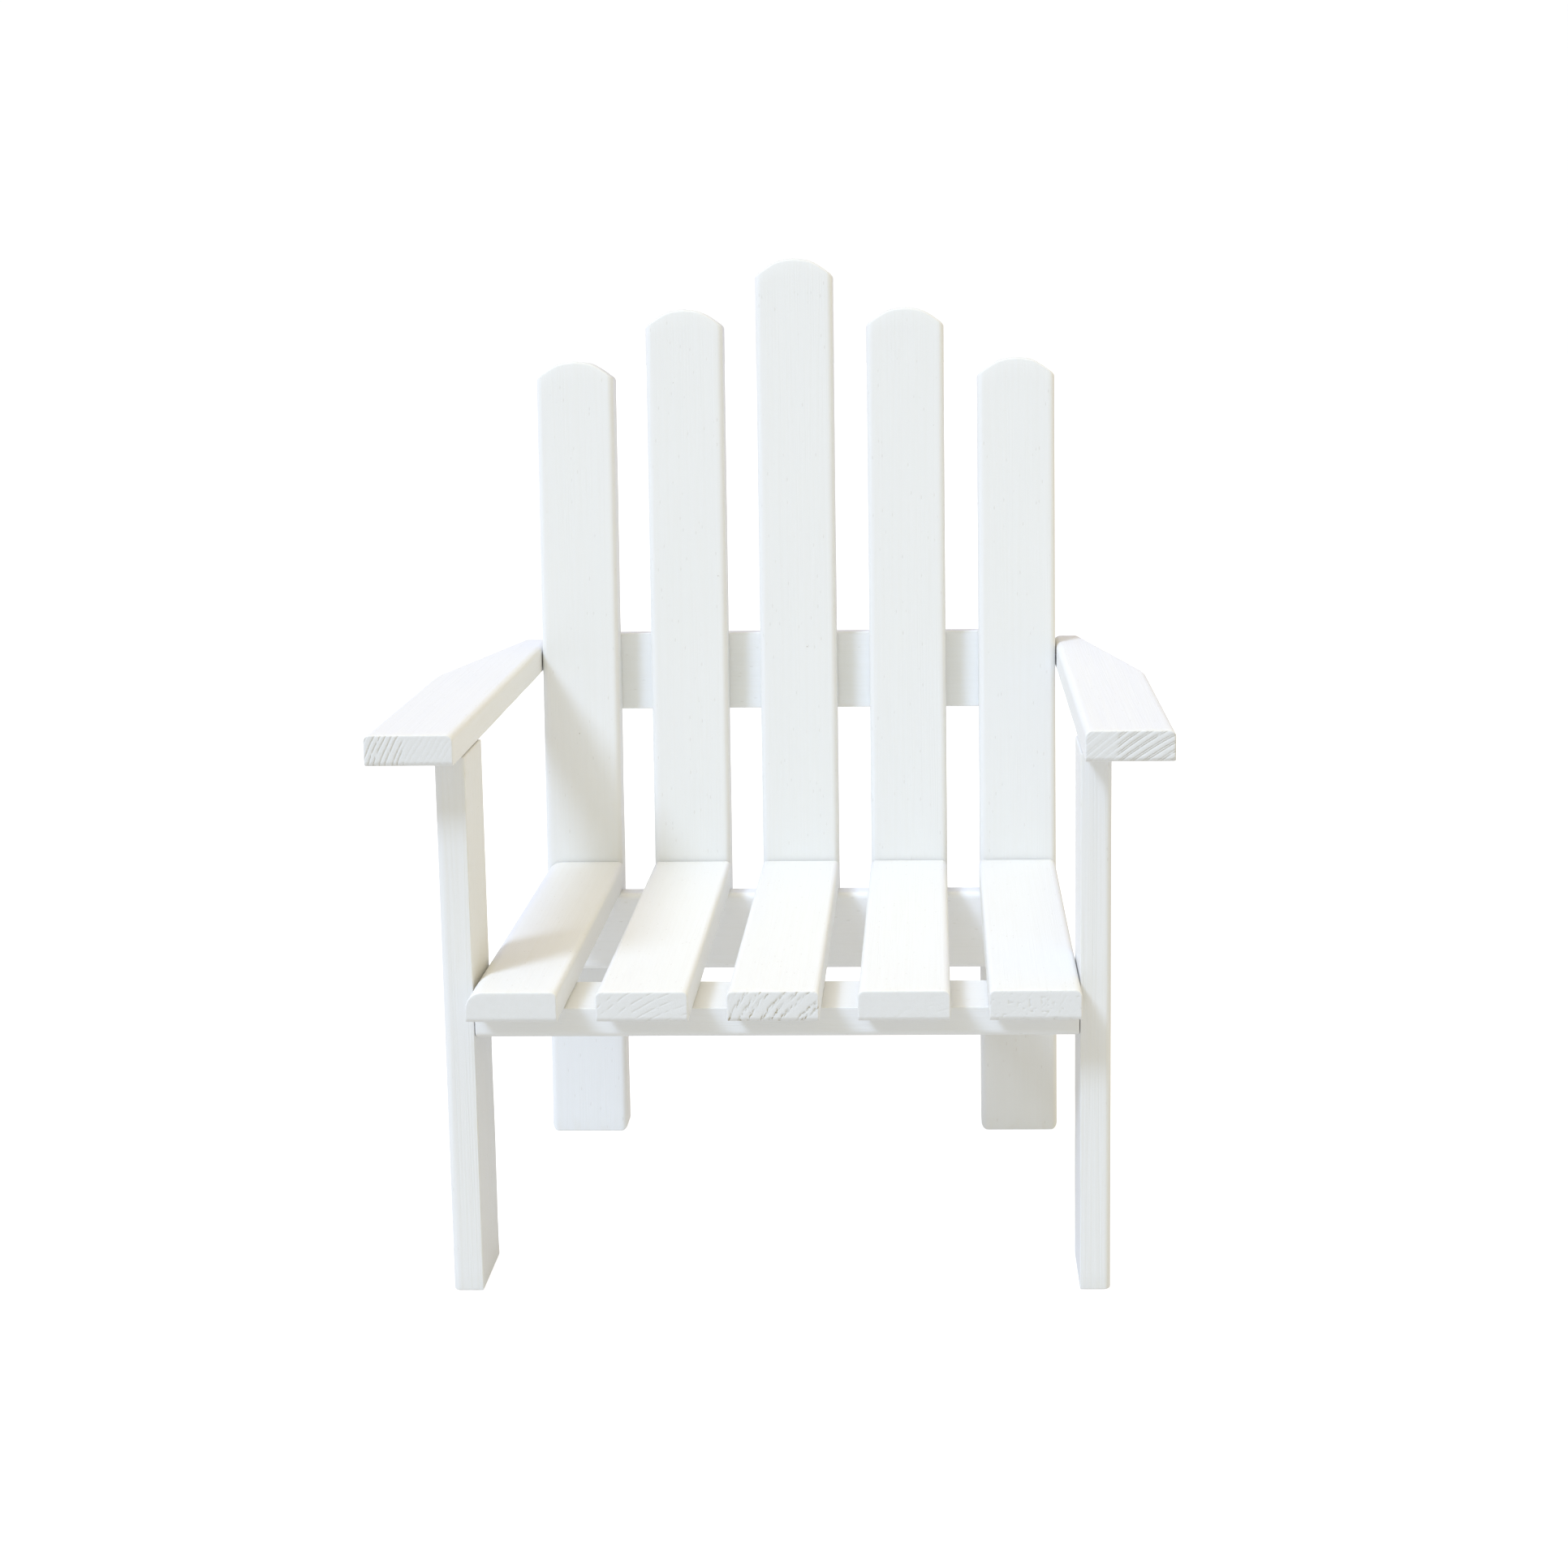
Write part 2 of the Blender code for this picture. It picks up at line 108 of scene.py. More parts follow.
def light_stage():
    """A bright even room with one soft window, high on the left in front."""
    world = bpy.data.worlds.new("studio")
    scene.world = world
    world.use_nodes = True
    n, l = new_nodes(world.node_tree)
    out = n.new("ShaderNodeOutputWorld")
    sky = n.new("ShaderNodeBackground")
    place = n.new("ShaderNodeTexCoord")
    split = n.new("ShaderNodeSeparateXYZ")
    l.new(place.outputs["Generated"], split.inputs[0])

    def lobe(axis, sign, power, colour, below):
        """Light that grows towards one end of an axis, added to the light below it."""
        turned = n.new("ShaderNodeMath")
        turned.operation = "MULTIPLY"
        l.new(split.outputs[axis], turned.inputs[0])
        turned.inputs[1].default_value = sign
        ahead = n.new("ShaderNodeMath")
        ahead.operation = "MAXIMUM"
        l.new(turned.outputs[0], ahead.inputs[0])
        ahead.inputs[1].default_value = 0.0
        sharp = n.new("ShaderNodeMath")
        sharp.operation = "POWER"
        l.new(ahead.outputs[0], sharp.inputs[0])
        sharp.inputs[1].default_value = power
        tint = n.new("ShaderNodeVectorMath")
        tint.operation = "SCALE"
        tint.inputs[0].default_value = colour
        l.new(sharp.outputs[0], tint.inputs["Scale"])
        total = n.new("ShaderNodeVectorMath")
        total.operation = "ADD"
        l.new(tint.outputs[0], total.inputs[0])
        if below is None:
            total.inputs[1].default_value = SKY_EVEN
        else:
            l.new(below, total.inputs[1])
        return total.outputs[0]

    light = None
    for axis, sign, power, colour in SKY_LOBES:
        light = lobe(axis, sign, power, colour, light)
    l.new(light, sky.inputs["Color"])
    sky.inputs["Strength"].default_value = 1.0
    white = n.new("ShaderNodeBackground")
    white.inputs["Color"].default_value = (1.0, 1.0, 1.0, 1.0)
    white.inputs["Strength"].default_value = 1.02
    path = n.new("ShaderNodeLightPath")
    mix = n.new("ShaderNodeMixShader")
    l.new(path.outputs["Is Camera Ray"], mix.inputs["Fac"])
    l.new(sky.outputs[0], mix.inputs[1])
    l.new(white.outputs[0], mix.inputs[2])
    l.new(mix.outputs[0], out.inputs["Surface"])

    for name, azimuth, elevation, width, colour in WINDOW:
        key = bpy.data.lights.new(name, "SUN")
        key.energy = max(colour)
        key.angle = math.radians(width)
        key.color = [c / max(colour) for c in colour]
        lamp = bpy.data.objects.new(name, key)
        scene.collection.objects.link(lamp)
        azimuth, elevation = math.radians(azimuth), math.radians(elevation)
        towards = Vector((-math.sin(azimuth) * math.cos(elevation),
                          -math.cos(azimuth) * math.cos(elevation), math.sin(elevation)))
        lamp.matrix_world = towards.to_track_quat("Z", "Y").to_matrix().to_4x4()

    mesh = bpy.data.meshes.new("floor")
    side = 14.0
    mesh.from_pydata([(-side, -side, 0.0), (side, -side, 0.0), (side, side, 0.0), (-side, side, 0.0)],
                     [], [(0, 1, 2, 3)])
    floor = bpy.data.objects.new("floor", mesh)
    scene.collection.objects.link(floor)
    floor.location.z = -0.0002
    material = bpy.data.materials.new("pale_floor")
    material.use_nodes = True
    shader = material.node_tree.nodes["Principled BSDF"]
    shader.inputs["Base Color"].default_value = (0.42, 0.42, 0.42, 1.0)
    shader.inputs["Roughness"].default_value = 0.9
    shader.inputs["Specular IOR Level"].default_value = 0.0
    shader.inputs["Emission Color"].default_value = (1.0, 1.0, 1.0, 1.0)
    glow = material.node_tree.nodes.new("ShaderNodeMath")
    glow.operation = "MULTIPLY_ADD"
    seen = material.node_tree.nodes.new("ShaderNodeLightPath")
    material.node_tree.links.new(seen.outputs["Is Camera Ray"], glow.inputs[0])
    glow.inputs[1].default_value, glow.inputs[2].default_value = FLOOR_SEEN, FLOOR_GLOW
    material.node_tree.links.new(glow.outputs[0], shader.inputs["Emission Strength"])
    mesh.materials.append(material)


light_stage()


# ---------------------------------------------------------------- noise
def lattice(ix, iy, iz, seed):
    """A fixed value from 0 to 1 for each whole-number point."""
    mask = 0xFFFFFFFF
    h = ((ix * 73856093) ^ (iy * 19349663) ^ (iz * 83492791) ^ (seed * 40503 + 977)) & mask
    for a, b in ((15, 0x2C1B3C6D), (12, 0x297A2D39), (15, 0x1B56C4E9)):
        h = ((h ^ (h >> a)) * b) & mask
    return (h ^ (h >> 16)).astype(float) / mask


def noise(p, scale, seed, octaves=1):
    """Smooth noise from 0 to 1 at points p (N x 3); scale is cycles per metre on each axis."""
    total, weight, gain = 0.0, 0.0, 1.0
    q = p * np.asarray(scale, float)
    for octave in range(octaves):
        cell = np.floor(q).astype(np.int64)
        f = q - cell
        f = f * f * (3.0 - 2.0 * f)
        value = 0.0
        for dx in (0, 1):
            for dy in (0, 1):
                for dz in (0, 1):
                    weight3 = (np.where(dx, f[:, 0], 1 - f[:, 0]) * np.where(dy, f[:, 1], 1 - f[:, 1])
                               * np.where(dz, f[:, 2], 1 - f[:, 2]))
                    value = value + weight3 * lattice(cell[:, 0] + dx, cell[:, 1] + dy, cell[:, 2] + dz,
                                                      seed + octave * 31)
        total, weight, gain, q = total + gain * value, weight + gain, gain * 0.5, q * 2.03
    return total / weight


def ramp01(x, low, high):
    t = np.clip((x - low) / (high - low), 0.0, 1.0)
    return t * t * (3.0 - 2.0 * t)


# ------------------------------------------------------------- end relief
def rings(w, t, grain, seed):
    """How near each end-grain point is to a growth ring, from 0 to 1, broken along its length."""
    points = np.stack([w, t, np.zeros_like(w)], 1)
    wobble = (noise(points, (110, 110, 1), seed + 5) - 0.5) * grain.get("wobble", 0.8) * MM
    radius = np.hypot(w - grain["pith"][0] * MM, t - grain["pith"][1] * MM) + wobble
    spacing = grain["spacing"] * MM
    count = radius / spacing
    uneven = (lattice(np.floor(count + 0.5).astype(np.int64), np.zeros(len(w), np.int64),
                      np.zeros(len(w), np.int64), seed) - 0.5) * grain.get("uneven", 0.35)
    away = np.abs(count - np.floor(count + 0.5) - uneven) * spacing
    line = np.exp(-(away / (grain["line"] * MM)) ** 2)
    if grain.get("paired"):
        away2 = np.abs(count - np.floor(count + 0.5) - uneven - 0.27) * spacing
        line = np.maximum(line, 0.8 * np.exp(-(away2 / (grain["line"] * MM)) ** 2))
    angle = np.arctan2(t - grain["pith"][1] * MM, w - grain["pith"][0] * MM) * radius
    along = np.stack([angle, count, np.zeros_like(w)], 1)
    broken = noise(along, (grain.get("break", 260), 0.9, 1), seed + 9, 2)
    line = line * ramp01(broken, grain.get("gaps", 0.30), grain.get("gaps", 0.30) + 0.22)
    if grain.get("torn"):                    # the fibres in a wide ring are torn out in short pits
        crumbs = noise(np.stack([angle, radius, np.zeros_like(w)], 1), (620, 1150, 1), seed + 13, 2)
        line = line * (0.22 + 0.78 * ramp01(crumbs, 0.46, 0.64))
    return line


def end_relief(w, t, half_w, grain, seed):
    """Depth of the end grain below the saw cut, in metres."""
    points = np.stack([w, t, np.zeros_like(w)], 1)
    depth = grain["depth"] * MM * rings(w, t, grain, seed)
    if "only" in grain:                      # rings show on one part of the width
        low, high = grain["only"]
        x = w / half_w
        keep = np.maximum(ramp01(x, low - 0.12, low) * (1.0 - ramp01(x, high, high + 0.12)),
                          grain.get("elsewhere", 0.15))
        depth = depth * keep
    fuzz = noise(points, (520, 520, 1), seed + 2, 2)
    depth = depth + grain.get("fuzz", 0.05) * MM * fuzz
    if grain.get("pits", 0.0) > 0.0:
        spots = noise(points, (grain.get("pit_scale", 430),) * 2 + (1,), seed + 17)
        where = noise(points, (70, 90, 1), seed + 23)
        level = 0.84 - 0.10 * where
        if grain.get("pits_left"):
            level = level - 0.16 * ramp01(-w / half_w, 0.78, 0.95)
        depth = depth + grain["pits"] * MM * ramp01(spots, level, level + 0.10)
    return depth


# ------------------------------------------------------------ board meshes
def half_arc(centre, radius, start, steps):
    a = math.radians(start) + math.radians(45.0) * np.arange(steps) / steps
    return np.stack([centre[0] + radius * np.cos(a), centre[1] + radius * np.sin(a)], 1)


def profile(half_w, half_t, radii, inset, k, n_w, n_t):
    """Closed section from the middle of the lower left corner, anticlockwise, and each point's outward normal."""
    hw, ht = half_w - inset, half_t - inset
    r = [max(x - inset, 0.00003) for x in radii]            # lower left, lower right, upper right, upper left
    corner = [(-hw + r[0], -ht + r[0]), (hw - r[1], -ht + r[1]), (hw - r[2], ht - r[2]), (-hw + r[3], ht - r[3])]

    def straight(a, b, n):
        s = np.arange(n)[:, None] / n
        return np.asarray(a) * (1 - s) + np.asarray(b) * s

    parts = []
    for i, (first, n) in enumerate(((270.0, n_w), (0.0, n_t), (90.0, n_w), (180.0, n_t))):
        j = (i + 1) % 4
        ca, cb = corner[i], corner[j]
        a = math.radians(first)
        start = (ca[0] + r[i] * math.cos(a), ca[1] + r[i] * math.sin(a))
        end = (cb[0] + r[j] * math.cos(a), cb[1] + r[j] * math.sin(a))
        parts += [half_arc(ca, r[i], first - 45.0, k), straight(start, end, n), half_arc(cb, r[j], first, k)]
    return np.concatenate(parts)


def profile_normals(section):
    step = np.roll(section, -1, 0) - np.roll(section, 1, 0)
    out = np.stack([step[:, 1], -step[:, 0]], 1)
    return out / np.maximum(np.linalg.norm(out, axis=1, keepdims=True), 1e-12)


def build_board(name, size, radii, ease, seed, grain, fine, shape=None, wave=0.10, under=0.0):
    """Returns (points, faces, face kind, hollow, edge) of a board round its own centre.

    size is (width, length, thickness); ease is the rounding at the two sawn
    ends; grain is a description of the end grain at the two ends; under is
    how far up the first end its lower arris is worn round; shape moves the
    finished points.
    """
    width, length, thick = size
    hw, ht, hl = width / 2.0, thick / 2.0, length / 2.0
    k = 4
    pitch = 0.00042 if fine else 0.0009
    n_w = int(round((width - max(radii[0] + radii[1], radii[2] + radii[3])) / pitch))
    n_t = int(round((thick - max(radii[0] + radii[3], radii[1] + radii[2])) / pitch))
    nw, nt = 2 * k + n_w, 2 * k + n_t
    p = 2 * (nw + nt)
    rings_y, sections = [], []

    def add(inset, y):
        rings_y.append(y)
        sections.append(profile(hw, ht, radii, inset, k, n_w, n_t))

    steps = 4
    for j in range(steps + 1):
        a = math.radians(90.0) * j / steps
        add(ease[0] * (1 - math.sin(a)), -hl + ease[0] * (1 - math.cos(a)))
    long_steps = max(10, int(round((length - ease[0] - ease[1]) / 0.011)))
    for j in range(1, long_steps):
        add(0.0, -hl + ease[0] + (length - ease[0] - ease[1]) * j / long_steps)
    for j in range(steps, -1, -1):
        a = math.radians(90.0) * j / steps
        add(ease[1] * (1 - math.sin(a)), hl - ease[1] * (1 - math.cos(a)))
    count = len(rings_y)
    section = np.stack(sections)                             # rings x p x 2
    ring_points = np.stack([section[:, :, 0], np.repeat(np.array(rings_y)[:, None], p, 1), section[:, :, 1]], 2)
    normals2 = profile_normals(sections[count // 2])

    # Sides
    index = np.arange(count * p).reshape(count, p)
    a, b = index[:-1], index[1:]
    quads = np.stack([a, np.roll(a, -1, 1), np.roll(b, -1, 1), b], 2).reshape(-1, 4)[:, ::-1]
    kinds = [np.zeros(len(quads), int)]
    ring_of = np.repeat(np.arange(count - 1), p)
    kinds[0][(ring_of < 2) | (ring_of >= count - 3)] = 1     # the inner part of the eased end edge
    faces = [quads]
    points = [ring_points.reshape(-1, 3)]
    start = count * p

    # End faces, one grid each
    def cap(ring, low_end, start):
        loop = ring_points[ring]
        ids = index[ring]
        grid = np.full((nw + 1, nt + 1), -1)
        where = np.zeros((nw + 1, nt + 1, 3))
        i, j = np.arange(nw + 1), np.arange(nt + 1)
        edge = {(0, 1): i, (1, 1): nw + j, (2, 1): nw + nt + (nw - i), (3, 1): (2 * nw + nt + (nt - j)) % p}
        bottom, right, top, left = (loop[edge[(m, 1)]] for m in range(4))
        u, v = (i / nw)[:, None, None], (j / nt)[None, :, None]
        where = ((1 - v) * bottom[:, None, :] + v * top[:, None, :] + (1 - u) * left[None, :, :]
                 + u * right[None, :, :]
                 - (1 - u) * (1 - v) * bottom[0] - u * (1 - v) * bottom[-1]
                 - (1 - u) * v * top[0] - u * v * top[-1])
        grid[:, 0], grid[nw, :], grid[:, nt], grid[0, :] = (ids[edge[(0, 1)]], ids[edge[(1, 1)]],
                                                            ids[edge[(2, 1)]], ids[edge[(3, 1)]])
        inner = where[1:-1, 1:-1].reshape(-1, 3)
        grid[1:-1, 1:-1] = start + np.arange(len(inner)).reshape(nw - 1, nt - 1)
        f = np.stack([grid[:-1, :-1], grid[1:, :-1], grid[1:, 1:], grid[:-1, 1:]], 2).reshape(-1, 4)
        return inner, (f if low_end else f[:, ::-1])

    end_of = [np.zeros(start, int)]
    for ring, low_end in ((0, True), (count - 1, False)):
        inner, f = cap(ring, low_end, start)
        points.append(inner)
        faces.append(f)
        kinds.append(np.ones(len(f), int))
        end_of.append(np.full(len(inner), 1 if low_end else 2))
        start += len(inner)
    points = np.concatenate(points)
    end_of = np.concatenate(end_of)
    faces = np.concatenate(faces)
    kinds = np.concatenate(kinds)

    # A little unevenness, only inwards: planing waves, soft arrises, end relief.
    ring_no = np.full(len(points), -1)
    ring_no[:count * p] = np.repeat(np.arange(count), p)
    column = np.tile(np.arange(p), count)
    side = ring_no >= 0
    hollow = np.zeros(len(points))
    outward = np.zeros((len(points), 3))
    outward[:count * p, 0] = normals2[column, 0]
    outward[:count * p, 2] = normals2[column, 1]
    waves = noise(points, (34, 11, 34), seed + 41, 2)
    dip = wave * MM * waves
    # arrises: distance to the two sharp corners below
    to_left = np.hypot(points[:, 0] + hw, points[:, 2] + ht)
    to_right = np.hypot(points[:, 0] - hw, points[:, 2] + ht)
    arris = np.exp(-(np.minimum(to_left, to_right) / (1.6 * MM)) ** 2)
    dip = dip + 0.35 * MM * arris * ramp01(noise(points, (60, 26, 60), seed + 43, 2), 0.45, 0.85)
    calm = np.clip(np.minimum(ring_no, count - 1 - ring_no) / (steps + 1.0), 0.0, 1.0)
    points[side] -= outward[side] * (dip * calm)[side, None]

    for end, sign, slot in ((1, -1.0, 0), (2, 1.0, 1)):
        if grain[slot] is None:
            continue
        ring_list = range(0, steps) if end == 1 else range(count - steps, count)
        on_ring = np.isin(ring_no, list(ring_list))
        pick = (end_of == end) | on_ring
        w, t = points[pick, 0], points[pick, 2]
        depth = end_relief(w, t, hw, grain[slot], seed + slot * 100)
        fade = np.ones(len(depth))
        if on_ring.any():
            place = ring_no[pick]
            from_outside = np.where(place < 0, steps, (steps - place) if end == 1 else (place - (count - 1 - steps)))
            fade = np.clip(from_outside / steps, 0.0, 1.0)
        ragged = grain[slot].get("ragged", 0.0)
        if ragged:
            low_edge = np.exp(-((t + ht) / (1.1 * MM)) ** 2)
            pts = np.stack([w, np.zeros_like(w), t], 1)
            chip = ramp01(noise(pts, (420, 1, 260), seed + 71 + slot, 2), 0.45, 0.80)
            depth = depth + ragged * MM * low_edge * chip
        points[pick, 1] -= sign * depth * fade
        hollow[pick] = np.maximum(hollow[pick], depth / MM)

    if under:
        worn = np.clip((under - (points[:, 2] + ht)) / under, 0.0, 1.0) ** 2
        points[:, 1] += 0.55 * under * worn * np.clip(1.0 - (points[:, 1] + hl) / 0.014, 0.0, 1.0)

    edge = arris.copy()
    near_end = np.minimum(points[:, 1] + hl, hl - points[:, 1])
    rim = np.exp(-(near_end / (1.4 * MM)) ** 2) * side
    edge = np.clip(np.maximum(edge, rim), 0.0, 1.0)
    if shape:
        points = shape(points.copy())
    return points, faces, kinds, hollow, edge


def make_mesh(name, points, faces, kinds, materials):
    mesh = bpy.data.meshes.new(name)
    mesh.from_pydata(points.tolist(), [], faces.tolist())
    for material in materials:
        mesh.materials.append(material)
    mesh.polygons.foreach_set("material_index", np.asarray(kinds, np.int32))
    mesh.polygons.foreach_set("use_smooth", np.ones(len(faces), bool))
    mesh.update()
    return mesh


# ------------------------------------------------------------- fasteners
def vertices(node):
    found = np.empty(len(nodes[node].data.vertices) * 3)
    nodes[node].data.vertices.foreach_get("co", found)
    return found.reshape(-1, 3)


def long_axis(points):
    """Where a turned part starts and which way it runs; it starts at its wider end."""
    points = np.unique(np.round(points, 6), axis=0)
    centre = (points.max(0) + points.min(0)) / 2.0
    axis = np.linalg.svd(points - points.mean(0), full_matrices=False)[2][0]
    along = (points - centre) @ axis
    off = (points - centre) - along[:, None] * axis
    radius = np.linalg.norm(off - off.mean(0), axis=1)
    if radius[along > along.max() - 0.001].max() > radius[along < along.min() + 0.001].max():
        axis, along = -axis, -along
    ring = points[along < along.min() + 1e-5]
    head = ring.mean(0) if len(ring) > 3 else centre + axis * along.min()
    return head, axis, float(np.ptp(along))


def turned_mesh(name, rows, sides, kinds=None):
    """A solid of revolution about Z; rows are (radius, z), a radius may vary round it."""
    angle = 2 * math.pi * np.arange(sides) / sides
    points, faces, row_start = [], [], []
    for radius, z in rows:
        if np.isscalar(radius) and radius == 0.0:
            row_start.append((len(points), 1))
            points.append((0.0, 0.0, z))
        else:
            r = np.broadcast_to(radius, (sides,))
            row_start.append((len(points), sides))
            points += [(r[i] * math.cos(angle[i]), r[i] * math.sin(angle[i]), z) for i in range(sides)]
    for (a, na), (b, nb) in zip(row_start, row_start[1:]):
        for i in range(sides):
            j = (i + 1) % sides
            if na == 1:
                faces.append((a, b + j, b + i))
            elif nb == 1:
                faces.append((a + i, a + j, b))
            else:
                faces.append((a + i, a + j, b + j, b + i))
    mesh = bpy.data.meshes.new(name)
    mesh.from_pydata(points, [], faces)
    mesh.update()
    return mesh


def from_top_down(mesh):
    """Rows listed from the top down make faces that look inwards, so they are turned."""
    mesh.flip_normals()
    return mesh


def frame_at(head, axis):
    """A frame at the head whose -Z is the way the screw is driven."""
    turn = Vector(axis).to_track_quat("-Z", "Y").to_matrix().to_4x4()
    return Matrix.Translation(Vector(head)) @ turn


HEAD_R, HEAD_DEEP, SHANK_R, POINT, CLEAR = 0.0035, 0.0026, 0.00175, 0.0040, 0.00035
fasteners = {}
for node in nodes:
    if "_screw_" in node or "_dowel_" in node:
        head, axis, reach = long_axis(vertices(node))
        fasteners[node] = (head, axis, reach, "screw" if "_screw_" in node else "dowel")


def bore_mesh(reach, kind, deep):
    """What is bored out of the boards for a screw or a dowel, its top at Z = 0."""
    if kind == "dowel":
        r = 0.0040 + CLEAR
        rows = [(0.0, CLEAR), (r, CLEAR), (r, -reach - CLEAR), (0.0, -reach - CLEAR)]
        return from_top_down(turned_mesh("bore", rows, 24))
    r, s = HEAD_R + CLEAR, SHANK_R + CLEAR
    mouth = [(0.0, 0.0060), (r + 0.0002, 0.0060)] if deep else [(0.0, 0.0020), (r + 0.0012, 0.0020)]
    rows = mouth + [(r + 0.00015, 0.00035), (r, 0.0), (s, -HEAD_DEEP - CLEAR),
            (s, -reach + POINT), (0.0, -reach - 2 * CLEAR)]
    return from_top_down(turned_mesh("bore", rows, 24))


bores = {}
for node, (head, axis, reach, kind) in fasteners.items():
    mesh = bore_mesh(reach, kind, node.startswith("arm_screw"))
    mesh.transform(frame_at(head, axis))
    found = np.array([v.co for v in mesh.vertices])
    bores[node] = (mesh, found.min(0), found.max(0))


# --------------------------------------------------------------- materials
def node_kit(material):
    """Short ways to add nodes to a material."""
    tree = material.node_tree
    tree.nodes.clear()

    def put(kind, **values):
        node = tree.nodes.new(kind)
        for key, value in values.items():
            setattr(node, key, value)
        return node

    def link(a, b):
        tree.links.new(a, b)

    def feed(socket, value):
        if isinstance(value, bpy.types.NodeSocket):
            link(value, socket)
        else:
            socket.default_value = value

    def math_(operation, a, b=None, clamp=False):
        node = put("ShaderNodeMath", operation=operation, use_clamp=clamp)
        feed(node.inputs[0], a)
        if b is not None:
            feed(node.inputs[1], b)
        return node.outputs[0]

    def fit(value, low, high, to_low=0.0, to_high=1.0, smooth=True):
        node = put("ShaderNodeMapRange", clamp=True)
        if smooth:
            node.interpolation_type = "SMOOTHSTEP"
        feed(node.inputs["Value"], value)
        for key, v in (("From Min", low), ("From Max", high), ("To Min", to_low), ("To Max", to_high)):
            feed(node.inputs[key], v)
        return node.outputs["Result"]

    def blend(fac, a, b, mode="MIX"):
        node = put("ShaderNodeMix", data_type="RGBA", blend_type=mode)
        feed(node.inputs["Factor"], fac)
        for socket, value in ((node.inputs[6], a), (node.inputs[7], b)):
            feed(socket, value)
        return node.outputs[2]

    def scaled(vector, scale, offset=(0, 0, 0)):
        node = put("ShaderNodeMapping")
        link(vector, node.inputs["Vector"])
        node.inputs["Scale"].default_value = scale
        node.inputs["Location"].default_value = offset
        return node.outputs["Vector"]

    def fuzz(vector, scale=1.0, detail=2.0, rough=0.5, distortion=0.0):
        node = put("ShaderNodeTexNoise")
        link(vector, node.inputs["Vector"])
        node.inputs["Scale"].default_value = scale
        node.inputs["Detail"].default_value = detail
        node.inputs["Roughness"].default_value = rough
        node.inputs["Distortion"].default_value = distortion
        return node.outputs["Fac"]

    def cells(vector, scale, feature="F1"):
        node = put("ShaderNodeTexVoronoi", feature=feature)
        link(vector, node.inputs["Vector"])
        node.inputs["Scale"].default_value = scale
        return node

    return put, link, math_, fit, blend, scaled, fuzz, cells


PAINT = (0.842, 0.845, 0.835, 1.0)
THIN = (0.80, 0.785, 0.72, 1.0)          # paint worn thin over an edge
SPECK = (0.42, 0.37, 0.30, 1.0)
BROWN = (0.40, 0.335, 0.20, 1.0)
# The last of these colours is painted shade for the sunken grooves and pits of the end grain.
# The sawn colours are darker than the face paint: partly the duller paint on end grain, partly painted shade on the
# sawn ends that face the front.
SAWN, SAWN_DARK, GROOVE_SHADE = (0.762, 0.768, 0.765, 1.0), (0.740, 0.744, 0.735, 1.0), (0.60, 0.585, 0.525, 1.0)


def attribute(put, name):
    node = put("ShaderNodeAttribute", attribute_name=name)
    return node.outputs["Fac"]


# A board's tone scales its paint colour, painting shade into it below 1 and light into it above 1.
def toned(colour, tone):
    return tuple(c * tone for c in colour[:3]) + (1.0,)


